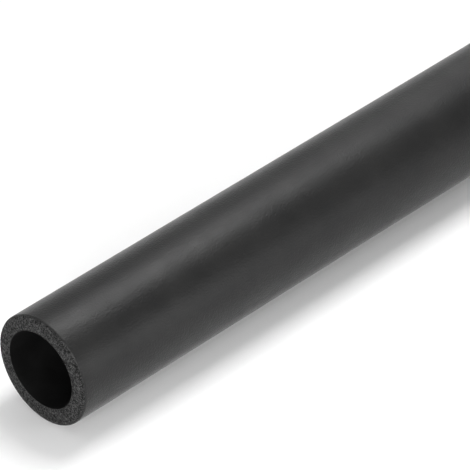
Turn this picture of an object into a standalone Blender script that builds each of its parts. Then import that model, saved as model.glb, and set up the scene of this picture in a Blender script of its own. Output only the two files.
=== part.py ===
"""Pipe lagging: one straight length of closed-cell rubber foam tube, lying on its side.

It is extruded as a single piece, black all through, with a smooth skin outside and in the bore.
Both ends are cut square with a knife, and the outer edge of each cut is drawn in a little.
The tube lies along X, and the origin is under its middle, on the surface that it lies on.
Metres, +Z up.
"""

import math

import bmesh
import bpy

# Driving dimensions: the lagging for 42 mm pipe with a 9 mm wall, its bore a slip fit on the pipe
LENGTH = 1.0
PIPE_DIAMETER = 0.042
BORE_CLEARANCE = 0.001
WALL = 0.009

# The extruder's core pin sits off centre, and the tube has rolled until its thick side is down
BORE_ABOVE_CENTRE = 0.0008

# The skin is tighter than the foam, so it draws the cut's outer edge in and back
ARRIS_ACROSS_FACE = 0.0045
ARRIS_ALONG_TUBE = 0.0018
ARRIS_STEPS = 6
INNER_ARRIS = 0.0004

# Sides of each turned surface; a multiple of four puts flats on the diameters along Y and Z
SIDES = 48

BORE_RADIUS = (PIPE_DIAMETER + BORE_CLEARANCE) / 2
OUTER_RADIUS = BORE_RADIUS + WALL
HALF_LENGTH = LENGTH / 2
CUTTER_OVERRUN = 0.004

# Edges that turn more than this are real ones, and the rest are steps in a round surface
EDGE_ANGLE = math.radians(35)

FOAM_COLOUR = (0.042, 0.042, 0.043, 1.0)
FOAM_ROUGHNESS = 0.62


def clear_scene():
    for old in list(bpy.data.objects):
        bpy.data.objects.remove(old)


def new_collection(name):
    made = bpy.data.collections.new(name)
    bpy.context.scene.collection.children.link(made)
    return made


def foam_material():
    material = bpy.data.materials.new("black_rubber_foam")
    material.use_nodes = True
    shader = material.node_tree.nodes["Principled BSDF"]
    shader.inputs["Base Color"].default_value = FOAM_COLOUR
    shader.inputs["Roughness"].default_value = FOAM_ROUGHNESS
    shader.inputs["Metallic"].default_value = 0.0
    return material


def turned(name, profile, collection):
    """A solid of revolution about X: profile lists (radius, place along X), from +X to -X.

    The flats of its sides lie on the true radius, and one of them is underneath.
    """
    mesh = bpy.data.meshes.new(name)
    outline = bmesh.new()
    half_side = math.tan(math.pi / SIDES)
    corners = [outline.verts.new((radius, radius * half_side, along)) for radius, along in profile]
    for first, second in zip(corners, corners[1:]):
        outline.edges.new((first, second))
    outline.to_mesh(mesh)
    outline.free()
    made = bpy.data.objects.new(name, mesh)
    collection.objects.link(made)
    made.rotation_euler = (0.0, math.pi / 2, 0.0)
    screw = made.modifiers.new("turn", "SCREW")
    screw.axis = "Z"
    screw.angle = 2 * math.pi
    screw.steps = SIDES
    screw.render_steps = SIDES
    screw.use_merge_vertices = True
    screw.merge_threshold = 0.00001
    return made


def drawn_in_arris():
    """The outer arris at the +X end, from the cut face out to the skin: (radius, place along X).

    It is a quarter of an ellipse.
    """
    flat_radius = OUTER_RADIUS - ARRIS_ACROSS_FACE
    full_size_from = HALF_LENGTH - ARRIS_ALONG_TUBE
    points = []
    for step in range(ARRIS_STEPS + 1):
        angle = (math.pi / 2) * (1 - step / ARRIS_STEPS)
        radius = flat_radius + ARRIS_ACROSS_FACE * math.cos(angle)
        along = full_size_from + ARRIS_ALONG_TUBE * math.sin(angle)
        points.append((radius, along))
    return points


def foam_outside(collection):
    """The tube's outside as a solid bar with rounded ends."""
    end = drawn_in_arris()
    other_end = [(radius, -along) for radius, along in reversed(end)]
    profile = [(0.0, HALF_LENGTH)] + end + other_end + [(0.0, -HALF_LENGTH)]
    bar = turned("foam_tube", profile, collection)
    bar.location = (0.0, 0.0, OUTER_RADIUS)
    return bar


def bore_cutter(collection):
    """The bore, right through, with each mouth flared by the width of the inner arris."""
    reach = HALF_LENGTH + CUTTER_OVERRUN
    mouth_radius = BORE_RADIUS + INNER_ARRIS + CUTTER_OVERRUN
    flare_start = HALF_LENGTH - INNER_ARRIS
    profile = [
        (0.0, reach),
        (mouth_radius, reach),
        (BORE_RADIUS, flare_start),
        (BORE_RADIUS, -flare_start),
        (mouth_radius, -reach),
        (0.0, -reach),
    ]
    cutter = turned("bore_cutter", profile, collection)
    cutter.location = (0.0, 0.0, OUTER_RADIUS + BORE_ABOVE_CENTRE)
    cutter.hide_render = True
    cutter.display_type = "WIRE"
    return cutter


def apply_modifiers(piece):
    """Keep the shape that the modifiers give, shaded smooth round and sharp at its edges."""
    evaluated = piece.evaluated_get(bpy.context.evaluated_depsgraph_get())
    piece.data = bpy.data.meshes.new_from_object(evaluated)
    piece.data.name = piece.name
    piece.modifiers.clear()
    piece.data.shade_smooth()
    piece.data.set_sharp_from_angle(angle=EDGE_ANGLE)


def foam_tube(parts, cutters):
    """The lagging itself: the outside less the bore."""
    tube = foam_outside(parts)
    tube.data.materials.append(foam_material())
    cut = tube.modifiers.new("bore", "BOOLEAN")
    cut.operation = "DIFFERENCE"
    cut.object = bore_cutter(cutters)
    apply_modifiers(tube)


clear_scene()
foam_tube(new_collection("pipe_lagging"), new_collection("cutters"))
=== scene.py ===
"""The looks of a length of black rubber foam pipe lagging, lying on a pale studio floor."""

import math

import bpy
from mathutils import Matrix, Vector, noise


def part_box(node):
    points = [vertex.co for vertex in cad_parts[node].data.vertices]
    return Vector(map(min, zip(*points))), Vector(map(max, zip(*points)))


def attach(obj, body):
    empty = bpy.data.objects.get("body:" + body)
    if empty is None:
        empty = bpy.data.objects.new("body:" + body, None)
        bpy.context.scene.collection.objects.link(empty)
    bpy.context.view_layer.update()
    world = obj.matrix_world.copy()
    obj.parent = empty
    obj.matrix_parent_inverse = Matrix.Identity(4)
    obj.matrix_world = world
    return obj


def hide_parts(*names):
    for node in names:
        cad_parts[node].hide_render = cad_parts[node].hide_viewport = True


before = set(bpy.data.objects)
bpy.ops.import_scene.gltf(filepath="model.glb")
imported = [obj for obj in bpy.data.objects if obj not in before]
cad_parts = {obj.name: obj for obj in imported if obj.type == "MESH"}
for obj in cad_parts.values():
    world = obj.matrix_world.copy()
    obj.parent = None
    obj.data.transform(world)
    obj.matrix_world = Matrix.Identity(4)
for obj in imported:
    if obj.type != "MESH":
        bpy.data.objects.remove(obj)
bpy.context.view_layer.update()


# Camera
# A long lens looks down on the near end and along the tube, which runs out of the frame.
# It stands where the middle of the near end falls on the pixel that the photograph has it on.

FRAME_PIXELS = 470
SENSOR_WIDTH = 36.0
LENS_IN_PIXELS = 4029.0
NEAR_END_PIXEL = (40.9, 371.5)
NEAR_END_DISTANCE = 1.978
LOOK_DOWN = math.radians(35.69)
LOOK_ACROSS = math.radians(43.85)
SEES_FROM = 0.1
SEES_TO = 100.0

tube_low, tube_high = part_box("foam_tube")
HALF_LENGTH = (tube_high.x - tube_low.x) / 2
OUTER_RADIUS = (tube_high.z - tube_low.z) / 2
AXIS_HEIGHT = tube_low.z + OUTER_RADIUS

ahead = Vector((
    math.cos(LOOK_ACROSS) * math.cos(LOOK_DOWN),
    math.sin(LOOK_ACROSS) * math.cos(LOOK_DOWN),
    -math.sin(LOOK_DOWN),
))
rightward = ahead.cross(Vector((0.0, 0.0, 1.0))).normalized()
upward = rightward.cross(ahead)
metres_per_pixel = NEAR_END_DISTANCE / LENS_IN_PIXELS
end_right = (NEAR_END_PIXEL[0] - FRAME_PIXELS / 2) * metres_per_pixel
end_down = (NEAR_END_PIXEL[1] - FRAME_PIXELS / 2) * metres_per_pixel
near_end = Vector((-HALF_LENGTH, 0.0, AXIS_HEIGHT))
camera_place = near_end - ahead * NEAR_END_DISTANCE - rightward * end_right + upward * end_down
camera_turn = ahead.to_track_quat("-Z", "Y").to_matrix().to_4x4()

camera_data = bpy.data.cameras.new("camera")
camera_data.sensor_width = SENSOR_WIDTH
camera_data.lens = LENS_IN_PIXELS / FRAME_PIXELS * SENSOR_WIDTH
camera_data.clip_start = SEES_FROM
camera_data.clip_end = SEES_TO
camera = bpy.data.objects.new("camera", camera_data)
camera.matrix_world = Matrix.Translation(camera_place) @ camera_turn
bpy.context.scene.collection.objects.link(camera)
bpy.context.scene.camera = camera


# The foam tube
# One length of black nitrile rubber foam, extruded over a core pin, so it has a closed skin
# outside and in the bore. A knife has cut both ends square, which opens the foam's cells there.
# It is one closed mesh, laid as rings: near cut, outer skin, far cut and back along the bore.

BORE_RADIUS = 0.0215
BORE_ABOVE_CENTRE = 0.0008
BORE_ASIDE = 0.0002
BORE_MOUTH_ROUND = 0.0002

# The soft tube sags under its own weight, so the bore is this share wider and lower than round
BORE_SAG = 0.014

# The skin draws each cut's outer edge in and back, in a quarter of an ellipse.
# The knife's cut reaches this share of the way out over it, and the skin wraps over the rest.
ARRIS_ACROSS_FACE = 0.0045
ARRIS_ALONG_TUBE = 0.0018
CUT_SHARE_OF_ARRIS = 0.93
CUT_QUARTER = math.asin(CUT_SHARE_OF_ARRIS) / (math.pi / 2)

# How many sides the rings have, how far apart they lie, and how many there are on the small rounds
SKIN_SIDES = 96
CUT_SIDES = 8 * SKIN_SIDES
SKIN_ROW = 0.005
BORE_ROW = 0.016
CUT_ROW = 0.0002
SKIN_ARRIS_ROWS = 10
MOUTH_ROWS = 3

# The skin rises and falls by a few hundredths of a millimetre, where the foam under it is uneven
SWELL_HEIGHT = 0.00008
SWELLS_PER_METRE = 14
SWELLS_ROUND = 1.6

# The foam is a mass of round cells, and the cut goes through each at a different depth.
# The radius is counted in cell sizes and varies by a share of itself. An opened cell has only
# a share of a ball's depth, and the cells grow shallower beside the skin and the bore.
CELL_SIZE = 0.00075
CELL_RADIUS = 0.72
CELL_RADIUS_VARIES = 0.3
CELL_DEPTH_SHARE = 0.4
CELLS_FADE_AT_SKIN = 0.0006
CELLS_FADE_AT_BORE = 0.0004

# A cell draws its radius and its tone from noise at its centre, each at a scale of its own
CELL_RADIUS_DRAW = 5.3
CELL_TONE_DRAW = 7.1

# The skin's edge round the cut is ragged, because it tears along the cells
SKIN_EDGE_RAGGED = 0.0012
SKIN_EDGE_SET_IN = 0.0004
SKIN_EDGE_RAGS_PER_METRE = 750

# A surface with no opened cells counts as this hollow and this light
EVEN_HOLLOW = 0.45
EVEN_TONE = 0.5

# The sign of an end's place along X, and the order of the tube's materials
NEAR, FAR = -1, 1
SKIN, CUT, BORE = range(3)


def skin_relief(place, outward):
    """How the skin swells and sinks about the true round."""
    spot = Vector((place.x * SWELLS_PER_METRE, outward.y * SWELLS_ROUND, outward.z * SWELLS_ROUND))
    return outward * noise.noise(spot) * SWELL_HEIGHT, EVEN_HOLLOW, EVEN_TONE


def no_relief(place, outward):
    """A true round."""
    return Vector(), EVEN_HOLLOW, EVEN_TONE


def cell_relief(facing_along, facing_out, from_bore, from_skin):
    """The relief of the cut on a ring that faces this way, so far from the bore and the skin."""
    def relief(place, outward):
        torn = noise.noise(place * SKIN_EDGE_RAGS_PER_METRE) * SKIN_EDGE_RAGGED - SKIN_EDGE_SET_IN
        clear_of_skin = max(0.0, (from_skin + torn) / CELLS_FADE_AT_SKIN)
        share = min(1.0, from_bore / CELLS_FADE_AT_BORE, clear_of_skin)
        distances, centres = noise.voronoi(place / CELL_SIZE)
        radius = CELL_RADIUS * (1 + CELL_RADIUS_VARIES * noise.cell(centres[0] * CELL_RADIUS_DRAW))
        hollow = min(1.0, math.sqrt(max(0.0, radius ** 2 - distances[0] ** 2)) / CELL_RADIUS)
        tone = (1 + noise.cell(centres[0] * CELL_TONE_DRAW)) / 2
        into = -Vector((facing_along, outward.y * facing_out, outward.z * facing_out))
        shift = into * hollow * share * CELL_RADIUS * CELL_DEPTH_SHARE * CELL_SIZE
        shown_hollow = EVEN_HOLLOW + (hollow - EVEN_HOLLOW) * share
        shown_tone = EVEN_TONE + (tone - EVEN_TONE) * share
        return shift, shown_hollow, shown_tone
    return relief


def arris(quarter, end):
    """A place on the drawn-in edge, from 0 at the flat to 1 at full size: radius and place along X."""
    angle = quarter * math.pi / 2
    radius = OUTER_RADIUS - ARRIS_ACROSS_FACE * (1 - math.sin(angle))
    return radius, end * (HALF_LENGTH - ARRIS_ALONG_TUBE * (1 - math.cos(angle)))


def arris_facing(quarter, end):
    """Which way the drawn-in edge faces there, as shares along X and outwards."""
    angle = quarter * math.pi / 2
    along = math.cos(angle) * ARRIS_ACROSS_FACE
    out = math.sin(angle) * ARRIS_ALONG_TUBE
    size = math.hypot(along, out)
    return end * along / size, out / size


# A station says where a ring lies: radius, place along X, share of the bore's shape, and relief

def cut_stations(end):
    """The stations of a cut end, from the bore's mouth out to the skin."""
    mouth_radius = BORE_RADIUS + BORE_MOUTH_ROUND
    flat_radius = OUTER_RADIUS - ARRIS_ACROSS_FACE
    flat_rows = round((flat_radius - mouth_radius) / CUT_ROW)
    arris_rows = round(ARRIS_ACROSS_FACE * CUT_SHARE_OF_ARRIS / CUT_ROW)
    stations = []
    for row in range(flat_rows):
        out = row / flat_rows
        radius = mouth_radius + (flat_radius - mouth_radius) * out
        relief = cell_relief(end, 0.0, row * CUT_ROW, ARRIS_ACROSS_FACE)
        stations.append((radius, end * HALF_LENGTH, 1 - out, relief))
    for row in range(arris_rows + 1):
        quarter = CUT_QUARTER * row / arris_rows
        radius, along = arris(quarter, end)
        from_skin = (arris_rows - row) * CUT_ROW
        relief = cell_relief(*arris_facing(quarter, end), ARRIS_ACROSS_FACE, from_skin)
        stations.append((radius, along, 0.0, relief))
    return stations


def skin_arris_stations(end):
    """The stations where the skin wraps over the edge, from the cut out to full size."""
    stations = []
    for row in range(1, SKIN_ARRIS_ROWS + 1):
        radius, along = arris(CUT_QUARTER + (1 - CUT_QUARTER) * row / SKIN_ARRIS_ROWS, end)
        stations.append((radius, along, 0.0, skin_relief))
    return stations


def mouth_stations(end):
    """The stations of the small round between the cut and the bore, from the cut inwards."""
    stations = []
    for row in range(1, MOUTH_ROWS + 1):
        angle = math.pi / 2 * row / MOUTH_ROWS
        radius = BORE_RADIUS + BORE_MOUTH_ROUND * (1 - math.sin(angle))
        along = end * (HALF_LENGTH - BORE_MOUTH_ROUND * (1 - math.cos(angle)))
        stations.append((radius, along, 1.0, no_relief))
    return stations


def straight_stations(start, stop, row_length, radius, bore_share, relief):
    """The stations between two places along X, leaving both out."""
    rows = round(abs(stop - start) / row_length)
    places = [start + (stop - start) * row / rows for row in range(1, rows)]
    return [(radius, along, bore_share, relief) for along in places]


# The mesh's points, with how hollow and how light each is.
# Then, for each ring, its first point, its sides and the finish of the wall to the next ring.
points = []
hollows = []
tones = []
ring_starts = []
ring_sides = []
ring_finishes = []


def lay_rings(stations, sides, finish):
    """Adds a ring of points at each station.

    A ring has a share of the bore's own place and sag: all of it in the bore, none on the outside.
    """
    for radius, along, bore_share, relief in stations:
        axis_height = AXIS_HEIGHT + BORE_ABOVE_CENTRE * bore_share
        centre = Vector((along, BORE_ASIDE * bore_share, axis_height))
        width = 1 + BORE_SAG * bore_share
        height = 1 - BORE_SAG * bore_share
        ring_starts.append(len(points))
        ring_sides.append(sides)
        ring_finishes.append(finish)
        for side in range(sides):
            angle = 2 * math.pi * side / sides
            outward = Vector((0.0, math.cos(angle), math.sin(angle)))
            place = centre + Vector((0.0, outward.y * width, outward.z * height)) * radius
            shift, hollow, tone = relief(place, outward)
            points.append(place + shift)
            hollows.append(hollow)
            tones.append(tone)


full_size_at = HALF_LENGTH - ARRIS_ALONG_TUBE
true_bore_at = HALF_LENGTH - BORE_MOUTH_ROUND
outside = straight_stations(-full_size_at, full_size_at, SKIN_ROW, OUTER_RADIUS, 0.0, skin_relief)
inside = straight_stations(true_bore_at, -true_bore_at, BORE_ROW, BORE_RADIUS, 1.0, no_relief)

# The wall from a cut's last ring has the finish of the surface that it leads to
lay_rings(cut_stations(NEAR), CUT_SIDES, CUT)
ring_finishes[-1] = SKIN
lay_rings(skin_arris_stations(NEAR) + outside, SKIN_SIDES, SKIN)
lay_rings(skin_arris_stations(FAR)[::-1], SKIN_SIDES, SKIN)
lay_rings(cut_stations(FAR)[::-1], CUT_SIDES, CUT)
ring_finishes[-1] = BORE
lay_rings(mouth_stations(FAR) + inside, SKIN_SIDES, BORE)
lay_rings(mouth_stations(NEAR)[::-1], SKIN_SIDES, BORE)


def wall_between(ring, following):
    """The faces between two rings; a ring with more sides fans them out from the other's corners."""
    start, next_start = ring_starts[ring], ring_starts[following]
    sides, next_sides = ring_sides[ring], ring_sides[following]
    if sides == next_sides:
        corners = [(side, (side + 1) % sides) for side in range(sides)]
        return [(start + a, start + b, next_start + b, next_start + a) for a, b in corners]
    fine, coarse = (start, next_start) if sides > next_sides else (next_start, start)
    fine_sides, coarse_sides = max(sides, next_sides), min(sides, next_sides)
    ratio = fine_sides // coarse_sides
    faces = []
    for corner in range(coarse_sides):
        here, there = coarse + corner, coarse + (corner + 1) % coarse_sides
        middle = corner * ratio + ratio // 2
        faces.append((fine + middle, there, here))
        for step in range(ratio):
            near_corner = here if step < ratio // 2 else there
            first = corner * ratio + step
            faces.append((fine + first, fine + (first + 1) % fine_sides, near_corner))
    return faces if fine == start else [face[::-1] for face in faces]


def finish_of(face, finish):
    """A face's finish: where no cell is opened at its corners, the skin still covers the cut."""
    covered = all(hollows[corner] == EVEN_HOLLOW for corner in face)
    return SKIN if finish == CUT and covered else finish


faces = []
finishes = []
for ring, finish in enumerate(ring_finishes):
    wall = wall_between(ring, (ring + 1) % len(ring_starts))
    faces += wall
    finishes += [finish_of(face, finish) for face in wall]

tube_mesh = bpy.data.meshes.new("lagging")
tube_mesh.from_pydata(points, [], faces)
tube_mesh.polygons.foreach_set("material_index", finishes)
tube_mesh.attributes.new("cell_hollow_shade", "FLOAT", "POINT").data.foreach_set("value", hollows)
tube_mesh.attributes.new("cell_tone", "FLOAT", "POINT").data.foreach_set("value", tones)
tube_mesh.shade_smooth()
lagging = bpy.data.objects.new("lagging", tube_mesh)
bpy.context.scene.collection.objects.link(lagging)

SKIN_BLACK = (0.0105, 0.0105, 0.0106, 1.0)
SKIN_DUSTY = (0.0150, 0.0149, 0.0147, 1.0)
# The cut's colours: the cell floors are darker than the walls, painted shade in the open cells, and
# their tone also differs at random from cell to cell
CELL_WALL_GREY = (0.0612, 0.0612, 0.0610, 1.0)
CELL_WALL_DARK = (0.001, 0.001, 0.001, 1.0)
CELL_SHADED_FLOOR_DARKEST = (0.001, 0.001, 0.001, 1.0)
CELL_SHADED_FLOOR_LIGHTEST = (0.0495, 0.0495, 0.0493, 1.0)
# The bore's colours are painted darker than the skin's, as painted shade inside the bore; the dusty one
# is the lighter
BORE_SHADED_BLACK = (0.0036, 0.0036, 0.0036, 1.0)
BORE_SHADED_DUSTY = (0.0062, 0.0062, 0.0062, 1.0)

# How the rubber reflects: a range of roughness is from the smoothest patches to the roughest
SKIN_IOR = 1.3
SKIN_ROUGHNESS = (0.37, 0.43)
SKIN_SHEEN = 0.16
SKIN_SHEEN_ROUGHNESS = 0.3
CUT_IOR = 1.2
CUT_ROUGHNESS = 0.75
CUT_SHEEN = 0.12
CUT_SHEEN_ROUGHNESS = 0.4
BORE_IOR = 1.2
BORE_ROUGHNESS = (0.55, 0.65)

# Each kind of unevenness: how many clouds it has to the metre, and how finely they break up
SKIN_DUST = (38, 6)
SKIN_RUBBED = (110, 4)
SKIN_GRAIN = (1100, 1)
DRAW_LINES = (420, 2)
CELL_WALLS = (2000, 1)
CUT_GRAIN = (2400, 2)
BORE_DUST = (60, 5)
BORE_GRAIN = (900, 2)

# The extruder's lines are drawn out along X, and the rest is even
DRAWN_OUT = (0.03, 1.0, 1.0)
EVEN_ALL_WAYS = (1.0, 1.0, 1.0)

# How far each kind stands up, in metres
SKIN_GRAIN_HEIGHT = 0.00018
DRAW_LINE_HEIGHT = 0.00001
CUT_GRAIN_HEIGHT = 0.00015
BORE_GRAIN_HEIGHT = 0.00004

# The part of its noise that each colour or roughness changes over
DUST_SPREAD = (0.35, 0.65)
CELL_WALL_SPREAD = (0.48, 0.6)
CELL_TONE_SPREAD = (0.45, 0.9)
ROUGHNESS_SPREAD = (0.3, 0.7)


def rubber(name, ior):
    """A new rubber material on the tube: its node tree and its shader."""
    material = bpy.data.materials.new(name)
    material.use_nodes = True
    shader = material.node_tree.nodes["Principled BSDF"]
    shader.inputs["Metallic"].default_value = 0.0
    shader.inputs["IOR"].default_value = ior
    tube_mesh.materials.append(material)
    return material.node_tree, shader


def mottle(tree, clouds, stretch=EVEN_ALL_WAYS):
    """Cloudy noise over the surface."""
    per_metre, detail = clouds
    place = tree.nodes.new("ShaderNodeTexCoord")
    scale = tree.nodes.new("ShaderNodeMapping")
    scale.inputs["Scale"].default_value = stretch
    tree.links.new(place.outputs["Object"], scale.inputs["Vector"])
    cloud = tree.nodes.new("ShaderNodeTexNoise")
    cloud.inputs["Scale"].default_value = per_metre
    cloud.inputs["Detail"].default_value = detail
    tree.links.new(scale.outputs["Vector"], cloud.inputs["Vector"])
    return cloud.outputs["Fac"]


def blend_of(tree, share, first, second, spread):
    """A colour that goes from the first to the second as the share goes over the spread."""
    ramp = tree.nodes.new("ShaderNodeValToRGB")
    for stop, colour, position in zip(ramp.color_ramp.elements, (first, second), spread):
        stop.position = position
        stop.color = colour
    tree.links.new(share, ramp.inputs["Fac"])
    return ramp.outputs["Color"]


def mixed(tree, share, first, second):
    """A colour that goes from the first to the second with the share; both are sockets."""
    mix = tree.nodes.new("ShaderNodeMix")
    mix.data_type = "RGBA"
    tree.links.new(share, mix.inputs["Factor"])
    tree.links.new(first, mix.inputs["A"])
    tree.links.new(second, mix.inputs["B"])
    return mix.outputs["Result"]


def eased(tree, share, numbers, spread):
    """A number that eases from the first to the second as the share goes over the spread."""
    ease = tree.nodes.new("ShaderNodeMapRange")
    ease.interpolation_type = "SMOOTHSTEP"
    ease.inputs["From Min"].default_value, ease.inputs["From Max"].default_value = spread
    ease.inputs["To Min"].default_value, ease.inputs["To Max"].default_value = numbers
    tree.links.new(share, ease.inputs["Value"])
    return ease.outputs["Result"]


def raised(tree, height, metres, under=None):
    """A bump that stands up so many metres, laid over another one if it is given."""
    bump = tree.nodes.new("ShaderNodeBump")
    bump.inputs["Strength"].default_value = 1.0
    bump.inputs["Distance"].default_value = metres
    tree.links.new(height, bump.inputs["Height"])
    if under:
        tree.links.new(under, bump.inputs["Normal"])
    return bump.outputs["Normal"]


def skin_finish():
    """The closed skin: black, faintly dusty, with a fine grain and faint lines from the extruder."""
    tree, shader = rubber("rubber_skin", SKIN_IOR)
    colour = blend_of(tree, mottle(tree, SKIN_DUST), SKIN_BLACK, SKIN_DUSTY, DUST_SPREAD)
    roughness = eased(tree, mottle(tree, SKIN_RUBBED), SKIN_ROUGHNESS, ROUGHNESS_SPREAD)
    lines = raised(tree, mottle(tree, DRAW_LINES, DRAWN_OUT), DRAW_LINE_HEIGHT)
    grain = raised(tree, mottle(tree, SKIN_GRAIN), SKIN_GRAIN_HEIGHT, lines)
    shader.inputs["Sheen Weight"].default_value = SKIN_SHEEN
    shader.inputs["Sheen Roughness"].default_value = SKIN_SHEEN_ROUGHNESS
    tree.links.new(colour, shader.inputs["Base Color"])
    tree.links.new(roughness, shader.inputs["Roughness"])
    tree.links.new(grain, shader.inputs["Normal"])


def cut_finish():
    """The cut foam: thin grey walls round open cells, painted darker into each hollow as painted shade,
    with floors whose tone also differs at random from cell to cell.
    """
    tree, shader = rubber("cut_foam", CUT_IOR)
    hollow = tree.nodes.new("ShaderNodeAttribute")
    hollow.attribute_name = "cell_hollow_shade"
    tone = tree.nodes.new("ShaderNodeAttribute")
    tone.attribute_name = "cell_tone"
    mottled = mottle(tree, CELL_WALLS)
    walls = blend_of(tree, mottled, CELL_WALL_DARK, CELL_WALL_GREY, CELL_WALL_SPREAD)
    shaded_floors = blend_of(tree, tone.outputs["Fac"], CELL_SHADED_FLOOR_DARKEST, CELL_SHADED_FLOOR_LIGHTEST, CELL_TONE_SPREAD)
    # Painted shade: the colour goes from the walls to the darker cell floors as the cut grows hollow
    colour = mixed(tree, hollow.outputs["Fac"], walls, shaded_floors)
    grain = raised(tree, mottle(tree, CUT_GRAIN), CUT_GRAIN_HEIGHT)
    shader.inputs["Roughness"].default_value = CUT_ROUGHNESS
    shader.inputs["Sheen Weight"].default_value = CUT_SHEEN
    shader.inputs["Sheen Roughness"].default_value = CUT_SHEEN_ROUGHNESS
    tree.links.new(colour, shader.inputs["Base Color"])
    tree.links.new(grain, shader.inputs["Normal"])


def bore_finish():
    """The bore's skin: painted darker than the outer skin as painted shade inside the bore, and lighter
    and rougher where it is dusty.
    """
    tree, shader = rubber("bore_skin", BORE_IOR)
    dust = mottle(tree, BORE_DUST)
    colour = blend_of(tree, dust, BORE_SHADED_BLACK, BORE_SHADED_DUSTY, DUST_SPREAD)
    roughness = eased(tree, dust, BORE_ROUGHNESS, ROUGHNESS_SPREAD)
    grain = raised(tree, mottle(tree, BORE_GRAIN), BORE_GRAIN_HEIGHT)
    tree.links.new(colour, shader.inputs["Base Color"])
    tree.links.new(roughness, shader.inputs["Roughness"])
    tree.links.new(grain, shader.inputs["Normal"])


# In the order of SKIN, CUT and BORE
skin_finish()
cut_finish()
bore_finish()

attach(lagging, "root")
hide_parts("foam_tube")


# The studio
# A wide, pale, matt floor with soft boxes above and round it. None of it is part of the object.

FLOOR_SIZE = 80.0
FLOOR_WHITE = (0.9, 0.9, 0.9, 1.0)

# The floor glows a little where the soft boxes don't reach it, more and more over this distance
FLOOR_GLOW = 0.75
FLOOR_GLOW_FROM_TO = (0.4, 1.3)

# The soft boxes all face this place. Each has the place where it hangs, its width and height
# in metres, and its radiance.
LIT_PLACE = Vector((-0.35, 0.0, AXIS_HEIGHT))
SOFT_BOXES = {
    "ceiling_box": ((0.0, 0.0, 4.0), (6.0, 6.0), 0.2),
    "overhead_box": ((0.05, 0.12, 1.0), (0.5, 0.5), 10.3),
    "near_end_box": ((-1.2, -0.35, 0.25), (0.4, 0.35), 18.3),
    "front_close_box": ((-0.25, -0.42, 0.13), (0.25, 0.18), 2.2),
    "front_low_box": ((0.2, -1.2, 0.2), (0.5, 0.25), 1.2),
    "front_box": ((-0.1, -1.1, 0.45), (0.45, 0.35), 2.2),
    "back_box": ((0.21, 0.6, 0.6), (0.7, 0.7), 0.25),
    "far_back_box": ((1.1, 0.8, 0.6), (0.6, 0.6), 2.5),
}

# The room is pale at the walls and dimmer overhead, and changes over this range of slopes
ROOM_WHITE = (1.0, 1.0, 1.0, 1.0)
WALL_GLOW = 0.9
CEILING_GLOW = 0.3
WALL_TO_CEILING = (0.06, 0.18)

floor_half = FLOOR_SIZE / 2
floor_corners = [(x * floor_half, y * floor_half, 0.0) for x, y in ((-1, -1), (1, -1), (1, 1), (-1, 1))]
floor_mesh = bpy.data.meshes.new("studio_floor")
floor_mesh.from_pydata(floor_corners, [], [(0, 1, 2, 3)])
floor = bpy.data.objects.new("studio_floor", floor_mesh)
bpy.context.scene.collection.objects.link(floor)
floor_material = bpy.data.materials.new("pale_floor")
floor_material.use_nodes = True
floor_tree = floor_material.node_tree
floor_shader = floor_tree.nodes["Principled BSDF"]
floor_shader.inputs["Base Color"].default_value = FLOOR_WHITE
floor_shader.inputs["Roughness"].default_value = 1.0
floor_shader.inputs["Specular IOR Level"].default_value = 0.0
floor_shader.inputs["Emission Color"].default_value = FLOOR_WHITE
floor_place = floor_tree.nodes.new("ShaderNodeTexCoord")
floor_distance = floor_tree.nodes.new("ShaderNodeVectorMath")
floor_distance.operation = "LENGTH"
floor_tree.links.new(floor_place.outputs["Object"], floor_distance.inputs[0])
floor_glow = eased(floor_tree, floor_distance.outputs["Value"], (0.0, FLOOR_GLOW), FLOOR_GLOW_FROM_TO)
floor_tree.links.new(floor_glow, floor_shader.inputs["Emission Strength"])
floor_mesh.materials.append(floor_material)

# A flat lamp gives out pi times its radiance from each square metre
for name, (place, (width, height), radiance) in SOFT_BOXES.items():
    light = bpy.data.lights.new(name, "AREA")
    light.shape = "RECTANGLE"
    light.size = width
    light.size_y = height
    light.energy = radiance * math.pi * width * height
    box = bpy.data.objects.new(name, light)
    box.location = place
    box.rotation_euler = (LIT_PLACE - Vector(place)).to_track_quat("-Z", "Y").to_euler()
    box.visible_camera = False
    bpy.context.scene.collection.objects.link(box)

room = bpy.data.worlds.new("studio")
room.use_nodes = True
room_tree = room.node_tree
room_shader = room_tree.nodes["Background"]
room_shader.inputs["Color"].default_value = ROOM_WHITE
room_direction = room_tree.nodes.new("ShaderNodeTexCoord")
room_slope = room_tree.nodes.new("ShaderNodeSeparateXYZ")
room_tree.links.new(room_direction.outputs["Generated"], room_slope.inputs["Vector"])
room_glow = eased(room_tree, room_slope.outputs["Z"], (WALL_GLOW, CEILING_GLOW), WALL_TO_CEILING)
room_tree.links.new(room_glow, room_shader.inputs["Strength"])
bpy.context.scene.world = room
bpy.context.scene.view_settings.view_transform = "Standard"
